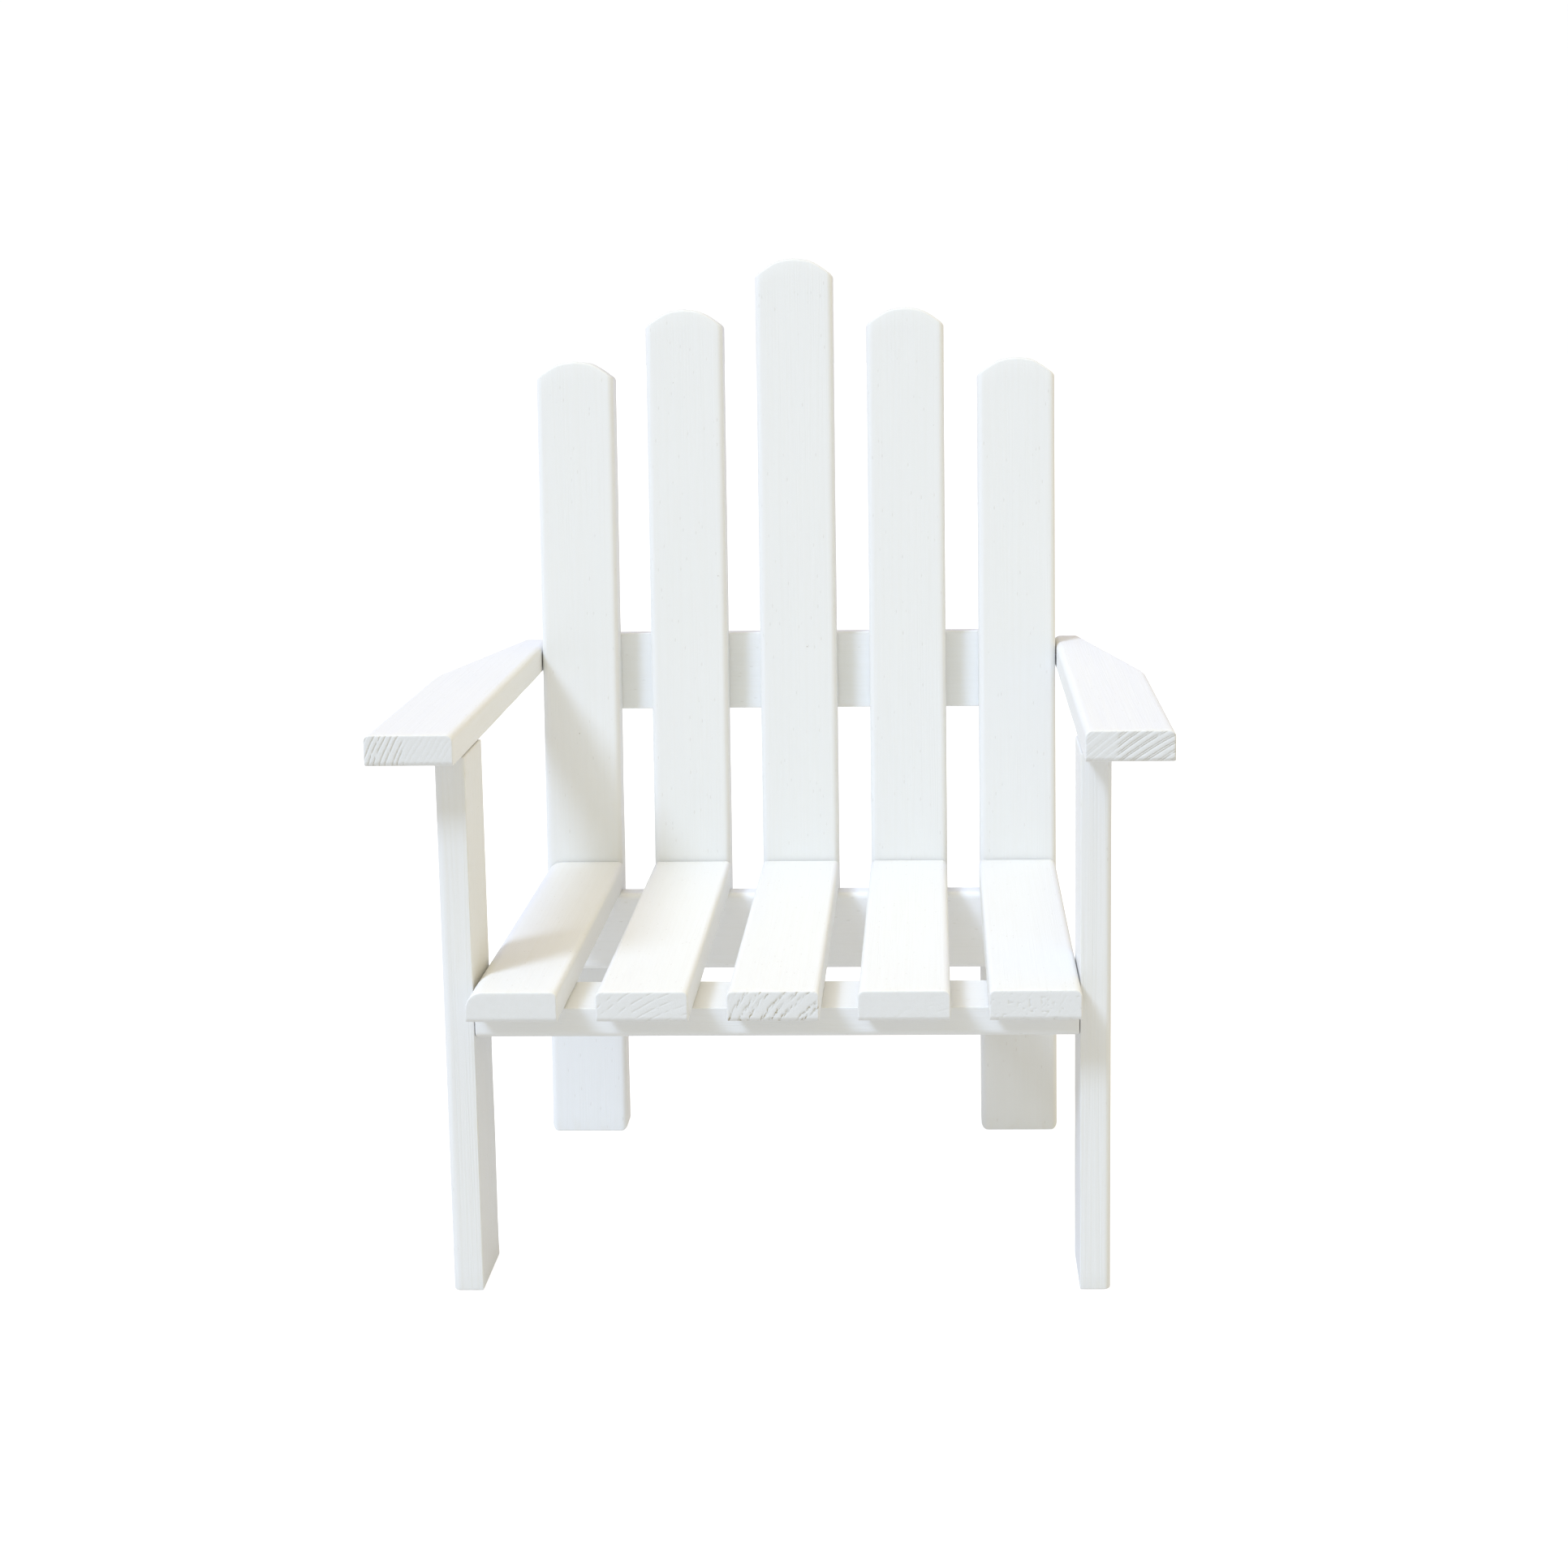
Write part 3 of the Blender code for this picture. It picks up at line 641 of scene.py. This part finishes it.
def paint_material(name, seed, ridge=1.0, tone=1.0):
    """Satin white paint over planed softwood: the grain shows through as faint ridges."""
    material = bpy.data.materials.new(name)
    material.use_nodes = True
    put, link, math_, fit, blend, scaled, fuzz, cells = node_kit(material)
    shader, out = put("ShaderNodeBsdfPrincipled"), put("ShaderNodeOutputMaterial")
    link(shader.outputs[0], out.inputs["Surface"])
    place = put("ShaderNodeAttribute", attribute_name="board").outputs["Vector"]
    offset = (seed * 1.37 % 9.0, seed * 2.11 % 7.0, seed * 0.73 % 5.0)

    fibres = fuzz(scaled(place, (1500, 26, 1500), offset), detail=3.0, rough=0.6)
    bands = fuzz(scaled(place, (260, 3.2, 260), offset), detail=2.0, rough=0.45, distortion=0.35)
    rings_ = fit(math_("PINGPONG", math_("MULTIPLY", bands, 9.0), 1.0), 0.25, 0.95)
    skin = fuzz(scaled(place, (900, 620, 900), offset), detail=2.0)
    brush = fuzz(scaled(place, (760, 9, 760), offset), detail=2.0, rough=0.55)
    cloud = fuzz(scaled(place, (22, 9, 22), offset), detail=2.0)

    # Pinholes and dirt: a few of many small cells.
    spots = cells(scaled(place, (1, 1, 1), offset), 95.0)
    chosen = put("ShaderNodeSeparateColor")
    link(spots.outputs["Color"], chosen.inputs[0])
    few = fit(chosen.outputs[0], 0.86, 0.88, smooth=False)
    size = fit(chosen.outputs[1], 0.0, 1.0, 0.018, 0.045, smooth=False)
    hole = math_("MULTIPLY", math_("LESS_THAN", spots.outputs["Distance"], size), few)
    pores = cells(scaled(place, (1, 0.28, 1), offset), 420.0)
    pore_pick = put("ShaderNodeSeparateColor")
    link(pores.outputs["Color"], pore_pick.inputs[0])
    pore = math_("MULTIPLY", fit(pores.outputs["Distance"], 0.10, 0.22, 1.0, 0.0),
                 fit(pore_pick.outputs[0], 0.80, 0.82, smooth=False))

    edge = attribute(put, "edge")
    worn = math_("MULTIPLY", edge, fit(fuzz(scaled(place, (180, 70, 180), offset), detail=3.0), 0.42, 0.72))
    # The tone paints shade (below 1) or light (above 1) into this board's paint.
    colour = blend(fit(cloud, 0.3, 0.7, 0.0, 0.35), toned(PAINT, tone), toned((0.830, 0.835, 0.830), tone))
    colour = blend(math_("MULTIPLY", rings_, 0.10 * ridge), colour, toned((0.80, 0.79, 0.745), tone))
    colour = blend(math_("MULTIPLY", worn, 0.65), colour, THIN)
    colour = blend(math_("MULTIPLY", pore, 0.16), colour, SPECK)
    colour = blend(math_("MULTIPLY", hole, 0.72), colour, SPECK)
    link(colour, shader.inputs["Base Color"])

    rough = math_("ADD", fit(brush, 0.25, 0.75, 0.40, 0.54), math_("MULTIPLY", fibres, 0.06))
    link(math_("ADD", rough, math_("MULTIPLY", worn, 0.14), clamp=True), shader.inputs["Roughness"])
    shader.inputs["IOR"].default_value = 1.47
    shader.inputs["Specular IOR Level"].default_value = 0.42
    shader.inputs["Coat Weight"].default_value = 0.06
    shader.inputs["Coat Roughness"].default_value = 0.35

    height = math_("MULTIPLY", rings_, 0.34 * ridge)
    for layer, share in ((fibres, 0.20), (brush, 0.24), (skin, 0.22)):
        height = math_("ADD", height, math_("MULTIPLY", layer, share))
    height = math_("SUBTRACT", height, math_("MULTIPLY", hole, 1.3))
    height = math_("SUBTRACT", height, math_("MULTIPLY", pore, 0.45))
    bump = put("ShaderNodeBump")
    bump.inputs["Strength"].default_value = 0.55
    bump.inputs["Distance"].default_value = 0.00022
    link(height, bump.inputs["Height"])
    link(bump.outputs["Normal"], shader.inputs["Normal"])
    return material


def end_material(name, seed, brown=0.0):
    """A painted saw cut: painted shade darkens its sunken grooves and pits, and torn spots show wood."""
    material = bpy.data.materials.new(name)
    material.use_nodes = True
    put, link, math_, fit, blend, scaled, fuzz, cells = node_kit(material)
    shader, out = put("ShaderNodeBsdfPrincipled"), put("ShaderNodeOutputMaterial")
    link(shader.outputs[0], out.inputs["Surface"])
    place = put("ShaderNodeAttribute", attribute_name="board").outputs["Vector"]
    offset = (seed * 1.37 % 9.0, seed * 2.11 % 7.0, seed * 0.73 % 5.0)
    hollow = attribute(put, "hollow")
    edge = attribute(put, "edge")
    mottled = fuzz(scaled(place, (240, 60, 240), offset), detail=3.0, rough=0.6)
    fine = fuzz(scaled(place, (1500, 300, 1500), offset), detail=3.0, rough=0.65)
    tubes = cells(scaled(place, (1, 0.2, 1), offset), 1100.0)
    saw = fuzz(scaled(place, (60, 60, 1900), offset), detail=2.0)

    # The end-grain paint is darker than the face paint, partly as painted shade on the front-facing ends.
    colour = blend(fit(mottled, 0.35, 0.7, 0.0, 0.55), SAWN, SAWN_DARK)
    # Painted shade: the end grain is darkened by its depth below the saw cut.
    groove_shade = fit(hollow, 0.10, 0.40, 0.0, 0.55)
    colour = blend(groove_shade, colour, GROOVE_SHADE)
    bare = math_("MULTIPLY", fit(hollow, 0.26, 0.44), fit(mottled, 0.48, 0.62))
    colour = blend(math_("MULTIPLY", bare, brown), colour, BROWN)
    worn = math_("MULTIPLY", edge, fit(fuzz(scaled(place, (300, 300, 300), offset), detail=3.0), 0.50, 0.74))
    colour = blend(math_("MULTIPLY", worn, 0.35 + 0.3 * brown), colour, THIN)
    link(colour, shader.inputs["Base Color"])
    link(fit(fine, 0.3, 0.75, 0.50, 0.68), shader.inputs["Roughness"])
    shader.inputs["IOR"].default_value = 1.47
    shader.inputs["Specular IOR Level"].default_value = 0.35
    height = math_("ADD", math_("MULTIPLY", fine, 0.45), math_("MULTIPLY", tubes.outputs["Distance"], 0.35))
    height = math_("ADD", height, math_("MULTIPLY", saw, 0.25))
    bump = put("ShaderNodeBump")
    bump.inputs["Strength"].default_value = 0.6
    bump.inputs["Distance"].default_value = 0.00025
    link(height, bump.inputs["Height"])
    link(bump.outputs["Normal"], shader.inputs["Normal"])
    return material


def wood_material(name, along="y"):
    """Bare softwood, inside the bores and on the dowels."""
    material = bpy.data.materials.new(name)
    material.use_nodes = True
    put, link, math_, fit, blend, scaled, fuzz, cells = node_kit(material)
    shader, out = put("ShaderNodeBsdfPrincipled"), put("ShaderNodeOutputMaterial")
    link(shader.outputs[0], out.inputs["Surface"])
    place = (put("ShaderNodeAttribute", attribute_name="board").outputs["Vector"] if along == "y"
             else put("ShaderNodeTexCoord").outputs["Object"])
    stretch = {"y": (700, 30, 700), "z": (700, 700, 30)}[along]
    fibre = fuzz(scaled(place, stretch), detail=4.0, rough=0.6)
    wide = fuzz(scaled(place, tuple(s / 5.0 for s in stretch)), detail=2.0)
    colour = blend(fit(wide, 0.3, 0.7), (0.66, 0.47, 0.28, 1.0), (0.54, 0.36, 0.19, 1.0))
    colour = blend(fit(fibre, 0.45, 0.8, 0.0, 0.5), colour, (0.40, 0.25, 0.12, 1.0))
    link(colour, shader.inputs["Base Color"])
    link(fit(fibre, 0.3, 0.7, 0.62, 0.78), shader.inputs["Roughness"])
    shader.inputs["Specular IOR Level"].default_value = 0.3
    bump = put("ShaderNodeBump")
    bump.inputs["Strength"].default_value = 0.5
    bump.inputs["Distance"].default_value = 0.0002
    link(fibre, bump.inputs["Height"])
    link(bump.outputs["Normal"], shader.inputs["Normal"])
    return material


def zinc_material(name):
    """Zinc-plated steel, dulled, with fine drawing marks."""
    material = bpy.data.materials.new(name)
    material.use_nodes = True
    put, link, math_, fit, blend, scaled, fuzz, cells = node_kit(material)
    shader, out = put("ShaderNodeBsdfPrincipled"), put("ShaderNodeOutputMaterial")
    link(shader.outputs[0], out.inputs["Surface"])
    place = put("ShaderNodeTexCoord").outputs["Object"]
    bloom = fuzz(scaled(place, (700, 700, 260)), detail=3.0, rough=0.6)
    marks = fuzz(scaled(place, (2600, 400, 2600)), detail=2.0)
    colour = blend(fit(bloom, 0.35, 0.68), (0.60, 0.61, 0.62, 1.0), (0.46, 0.45, 0.43, 1.0))
    link(colour, shader.inputs["Base Color"])
    shader.inputs["Metallic"].default_value = 1.0
    link(fit(bloom, 0.3, 0.7, 0.30, 0.50), shader.inputs["Roughness"])
    bump = put("ShaderNodeBump")
    bump.inputs["Strength"].default_value = 0.35
    bump.inputs["Distance"].default_value = 0.0001
    link(math_("ADD", marks, math_("MULTIPLY", bloom, 0.5)), bump.inputs["Height"])
    link(bump.outputs["Normal"], shader.inputs["Normal"])
    return material


BORE_WOOD = wood_material("bore_wood")
DOWEL_WOOD = wood_material("dowel_beech", "z")
ZINC = zinc_material("zinc")

# ------------------------------------------------------------------ boards
RECLINE = math.radians(3.25)
X, Y, Z = Vector((1, 0, 0)), Vector((0, 1, 0)), Vector((0, 0, 1))
LEAN_N = Vector((0.0, math.cos(RECLINE), -math.sin(RECLINE)))     # square to the back, to the rear
LEAN_K = Vector((0.0, math.sin(RECLINE), math.cos(RECLINE)))      # up along the back
R, A = 4.5 * MM, 0.7 * MM

FAINT = dict(pith=(60, -40), spacing=3.6, line=0.35, depth=0.07, fuzz=0.04)
GRAINS = {
    "seat_slat_1": dict(pith=(75, -30), spacing=4.2, line=0.35, depth=0.05, fuzz=0.05, ragged=0.25),
    "seat_slat_2": dict(pith=(52, -90), spacing=5.2, line=0.42, depth=0.27, fuzz=0.06, ragged=0.40, gaps=0.34),
    "seat_slat_3": dict(pith=(70, -62), spacing=5.6, line=1.25, depth=0.50, fuzz=0.06, ragged=0.45, torn=True,
                        gaps=0.14, uneven=0.5, **{"break": 110}),
    "seat_slat_4": dict(pith=(40, -60), spacing=5.0, line=0.45, depth=0.12, fuzz=0.06, ragged=0.35, gaps=0.45),
    "seat_slat_5": dict(pith=(-52, 46), spacing=3.9, line=0.40, depth=0.14, fuzz=0.10, ragged=0.40,
                        pits=0.22, pit_scale=540, gaps=0.48, pits_left=True),
    "armrest_left": dict(pith=(120, -66), spacing=3.4, line=0.46, depth=0.46, fuzz=0.04, ragged=0.35,
                         only=(-1.1, -0.16), elsewhere=0.26, gaps=0.16, wobble=1.1),
    "armrest_right": dict(pith=(112, -158), spacing=4.4, line=0.42, depth=0.48, fuzz=0.04, ragged=0.35,
                          paired=True, only=(-0.25, 1.2), elsewhere=0.45, gaps=0.10),
}


def arch_drop(half):
    """The slat tops: sloping shoulders run into a gentle crown."""
    flat, soft = 0.46 * half, 0.28 * half

    def drop(u):
        return 0.41 * ((u - flat) + np.hypot(u - flat, soft))

    return lambda w: drop(np.abs(w)) - drop(0.0)


def slat_shape(length, thick, half, level=None):
    """Arches the upper end of a back slat and rounds its lower corners in front view."""
    drop = arch_drop(half)
    corner = 5.0 * MM

    def shape(p):
        hl = length / 2.0
        up = np.clip((p[:, 1] - (hl - 0.06)) / 0.06, 0.0, 1.0)
        p[:, 1] -= drop(np.clip(p[:, 0], -half, half)) * up
        over = np.clip(np.abs(p[:, 0]) - (half - corner), 0.0, corner)
        lift = corner - np.sqrt(np.maximum(corner ** 2 - over ** 2, 0.0))
        if level is not None:
            lift = lift + level(p[:, 2])
        down = np.clip(((-hl + 0.05) - p[:, 1]) / 0.05, 0.0, 1.0)
        p[:, 1] += lift * down
        return p

    return shape


def arm_shape(length, half, outer, straight, narrow):
    """Tapers an arm on its outer side, from straight metres behind its front end."""
    def shape(p):
        along = p[:, 1] + length / 2.0
        x = along - straight
        soft = 0.002
        run = 0.5 * (x + np.hypot(x, soft)) - 0.5 * (math.hypot(straight, soft) - straight)
        shift = narrow * np.clip(run / (length - straight), 0.0, 1.0)
        u = p[:, 0] * outer
        share = np.clip((u + half - R) / (2 * half - 2 * R), 0.0, 1.0)
        p[:, 0] -= outer * shift * share
        corner = 2.0 * MM
        over = np.clip(u - (half - corner), 0.0, corner)
        lift = corner - np.sqrt(np.maximum(corner ** 2 - over ** 2, 0.0))
        p[:, 1] += lift * np.clip((0.03 - along) / 0.03, 0.0, 1.0)
        return p

    return shape


def add_board(node, along, better, ease=(1.0, 1.0), corners=(A, A, R, R), grain=None, fine=False,
              shape=None, seed=1, ridge=1.0, brown=0.0, wave=0.12, under=0.0, tone=1.0):
    """Builds one painted board over its CAD node and hides the node."""
    along, better = Vector(along), Vector(better)
    across = along.cross(better)
    basis = np.array([across, along, better])
    found = vertices(node) @ basis.T
    low, high = found.min(0), found.max(0)
    size, middle = high - low, (high + low) / 2.0
    centre = Vector(middle @ basis)
    place = Matrix((across, along, better)).transposed().to_4x4()
    place.translation = centre
    made = shape(size, centre) if shape else None
    front = grain or FAINT
    back_grain = dict(FAINT, pith=(-55 + seed % 7 * 4, -38))
    points, faces, kinds, hollow, edge = build_board(
        node, tuple(size), corners, (ease[0] * MM, ease[1] * MM), seed, (front, back_grain), fine, made, wave, under)
    paint = paint_material("paint_" + node, seed, ridge, tone)
    sawn = end_material("end_grain_" + node, seed + 3, brown)
    mesh = make_mesh("board_" + node, points, faces, kinds, [paint, sawn, BORE_WOOD])
    board = bpy.data.objects.new("board_" + node, mesh)
    scene.collection.objects.link(board)
    board.matrix_world = place

    # Bore it out where its screws and dowels go.
    lo, hi = (np.array(corner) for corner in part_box(node))
    cutters = [m for m, a, b in bores.values() if (a < hi - 1e-5).all() and (b > lo + 1e-5).all()]
    if cutters:
        joined_points, joined_faces, start = [], [], 0
        for m in cutters:
            joined_points += [tuple(v.co) for v in m.vertices]
            joined_faces += [[start + i for i in f.vertices] for f in m.polygons]
            start = len(joined_points)
        tool = bpy.data.meshes.new("tool")
        tool.from_pydata(joined_points, [], joined_faces)
        for material in (paint, sawn, BORE_WOOD):
            tool.materials.append(material)
        tool.polygons.foreach_set("material_index", np.full(len(joined_faces), 2, np.int32))
        tool.update()
        drill = bpy.data.objects.new("tool", tool)
        scene.collection.objects.link(drill)
        hole = board.modifiers.new("bored", "BOOLEAN")
        hole.operation, hole.solver, hole.object = "DIFFERENCE", "EXACT", drill
        graph = bpy.context.evaluated_depsgraph_get()
        bored = bpy.data.meshes.new_from_object(board.evaluated_get(graph), depsgraph=graph)
        board.modifiers.clear()
        bpy.data.objects.remove(drill)
        bpy.data.meshes.remove(tool)
        board.data = bored
        bored.name = "board_" + node
    mesh = board.data
    tree = KDTree(len(points))
    for i, co in enumerate(points):
        tree.insert(co, i)
    tree.balance()
    near = np.array([tree.find(v.co)[1] for v in mesh.vertices])
    for name, values in (("hollow", hollow), ("edge", edge)):
        layer = mesh.attributes.get(name) or mesh.attributes.new(name, "FLOAT", "POINT")
        layer.data.foreach_set("value", values[near].astype(np.float32))
    own = np.empty(len(mesh.vertices) * 3, np.float32)
    mesh.vertices.foreach_get("co", own)
    layer = mesh.attributes.new("board", "FLOAT_VECTOR", "POINT")
    layer.data.foreach_set("vector", own)
    mesh.transform(place)
    board.matrix_world = Matrix.Identity(4)
    mesh.polygons.foreach_set("use_smooth", np.ones(len(mesh.polygons), bool))
    mesh.set_sharp_from_angle(angle=math.radians(38.0))
    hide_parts(node)
    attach(board, "root")
    return board


for i, (right, left) in enumerate(((3.8, 11.0), (3.4, 3.6), (3.4, 3.6), (4.4, 4.0), (4.5, 3.4))):
    node = "seat_slat_%d" % (i + 1)
    corners = (A, A, right * MM, left * MM)
    add_board(node, Y, Z, ease=(1.1, 1.0), corners=corners, grain=GRAINS[node], fine=True, seed=11 + i,
              brown=(0.0, 0.25, 0.8, 0.1, 0.2)[i], under=3.4 * MM)

for side, outer in (("left", -1.0), ("right", 1.0)):
    node = "armrest_" + side

    def arm(size, centre, outer=outer):
        return arm_shape(size[1], size[0] / 2.0, outer, 0.2145, 0.035)

    add_board(node, Y, Z, ease=(1.0, 1.0), grain=GRAINS[node], fine=True, shape=arm, seed=31 + int(outer),
              brown=0.15, under=3.4 * MM)

# The tone values are painted light: the front rail and front legs are darkened as painted shade, and the rear seat
# rail and upper back rail, which sit in shade, are brightened as painted light.
add_board("front_rail", X, -Z, seed=41, wave=0.16, tone=0.955)
add_board("rear_seat_rail", X, -LEAN_N, seed=43, tone=1.06)
add_board("upper_back_rail", X, LEAN_N, seed=47, tone=1.06)
add_board("front_leg_left", Z, -X, seed=53, ridge=1.9, ease=(1.2, 1.0), tone=0.965)
add_board("front_leg_right", Z, X, seed=59, ridge=1.9, ease=(1.2, 1.0), tone=0.965)

for i, node in enumerate(("back_slat_left_leg", "back_slat_2", "back_slat_centre", "back_slat_4",
                          "back_slat_right_leg")):
    def slat(size, centre, leg=i in (0, 4)):
        level = None
        if leg:                                  # the rear legs are cut level on the floor
            def level(t, size=size, centre=centre):
                foot = (-centre.z + t * LEAN_N.z) / LEAN_K.z
                return np.maximum(foot + size[1] / 2.0, 0.0)
        return slat_shape(size[1], size[2], size[0] / 2.0, level)

    add_board(node, LEAN_K, -LEAN_N, ease=(1.0, 2.2), shape=slat, seed=61 + 4 * i, fine=False)


# ------------------------------------------------------- screws and dowels
def screw_mesh(reach):
    """A countersunk wood screw with a cross recess and a coarse thread, its head's top at Z = 0."""
    rows = [(0.0, 0.0), (0.0016, 0.0), (HEAD_R - 0.00012, 0.0), (HEAD_R, -0.00012), (HEAD_R, -0.00030),
            (SHANK_R + 0.00005, -HEAD_DEEP)]
    sides = 20
    angle = np.arange(sides) / sides
    turn, smooth = 0.0016, 0.30
    z = -HEAD_DEEP - 0.0006
    end = -reach
    while z > end + 0.0006:
        t = (z - end) / POINT
        core = SHANK_R * 0.72
        crest = SHANK_R
        threaded = z < -HEAD_DEEP - smooth * (reach - HEAD_DEEP)
        if threaded:
            phase = (angle - z / turn) % 1.0
            ridge = np.clip(1.0 - np.abs(phase - 0.5) * 5.0, 0.0, 1.0)
            r = core + (crest - core) * ridge
        else:
            r = np.full(sides, SHANK_R)
        rows.append((r * min(1.0, 0.15 + 0.85 * max(t, 0.0) ** 0.8 if t < 1 else 1.0), z))
        z -= 0.0004 if threaded else 0.0030
    rows.append((0.0, end))
    mesh = from_top_down(turned_mesh("screw", rows, sides))
    mesh.materials.append(ZINC)
    body = bpy.data.objects.new("screw_body", mesh)
    scene.collection.objects.link(body)
    # Cross recess: two tapered blades.
    points, faces = [], []
    for quarter in (0, 1):
        start = len(points)
        for z, half_long, half_wide in ((0.0003, 0.00215, 0.00046), (-0.0017, 0.00075, 0.00028)):
            for sx, sy in ((-1, -1), (1, -1), (1, 1), (-1, 1)):
                x, y = sx * half_long, sy * half_wide
                points.append((x, y, z) if quarter == 0 else (-y, x, z))
        s = start
        faces += [(s, s + 1, s + 2, s + 3), (s + 7, s + 6, s + 5, s + 4), (s, s + 4, s + 5, s + 1),
                  (s + 1, s + 5, s + 6, s + 2), (s + 2, s + 6, s + 7, s + 3), (s + 3, s + 7, s + 4, s)]
    tool = bpy.data.meshes.new("bit")
    tool.from_pydata(points, [], faces)
    tool.update()
    bit = bpy.data.objects.new("bit", tool)
    scene.collection.objects.link(bit)
    hole = body.modifiers.new("recess", "BOOLEAN")
    hole.operation, hole.solver, hole.object, hole.use_self = "DIFFERENCE", "EXACT", bit, True
    graph = bpy.context.evaluated_depsgraph_get()
    done = bpy.data.meshes.new_from_object(body.evaluated_get(graph), depsgraph=graph)
    bpy.data.objects.remove(body)
    bpy.data.objects.remove(bit)
    done.polygons.foreach_set("use_smooth", np.ones(len(done.polygons), bool))
    done.set_sharp_from_angle(angle=math.radians(32.0))
    return done


def dowel_mesh(reach):
    """A fluted dowel with eased ends, its top at Z = 0."""
    sides = 48
    flute = np.where(np.arange(sides) % 4 == 0, 0.00022, 0.0)
    r, e = 0.0040, 0.0008
    rows = [(0.0, 0.0), (r - e - 0.0006, 0.0), (r - e, -0.00006), (r - 0.3 * e, -0.45 * e)]
    for j in range(9):
        rows.append((r - flute, -e - (reach - 2 * e) * j / 8.0))
    rows += [(r - 0.3 * e, -reach + 0.45 * e), (r - e, -reach + 0.00006), (0.0, -reach)]
    mesh = from_top_down(turned_mesh("dowel", rows, sides))
    mesh.materials.append(DOWEL_WOOD)
    mesh.polygons.foreach_set("use_smooth", np.ones(len(mesh.polygons), bool))
    mesh.set_sharp_from_angle(angle=math.radians(40.0))
    return mesh


templates = {}
for number, (node, (head, axis, reach, kind)) in enumerate(sorted(fasteners.items())):
    key = (kind, round(reach, 3))
    if key not in templates:
        templates[key] = screw_mesh(reach) if kind == "screw" else dowel_mesh(reach)
    piece = bpy.data.objects.new("fixed_" + node, templates[key])
    scene.collection.objects.link(piece)
    spin = Matrix.Rotation(math.radians(number * 47.0 % 360.0), 4, "Z")
    piece.matrix_world = frame_at(head, axis) @ spin
    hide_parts(node)
    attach(piece, "root")

for mesh, _, _ in bores.values():
    bpy.data.meshes.remove(mesh)
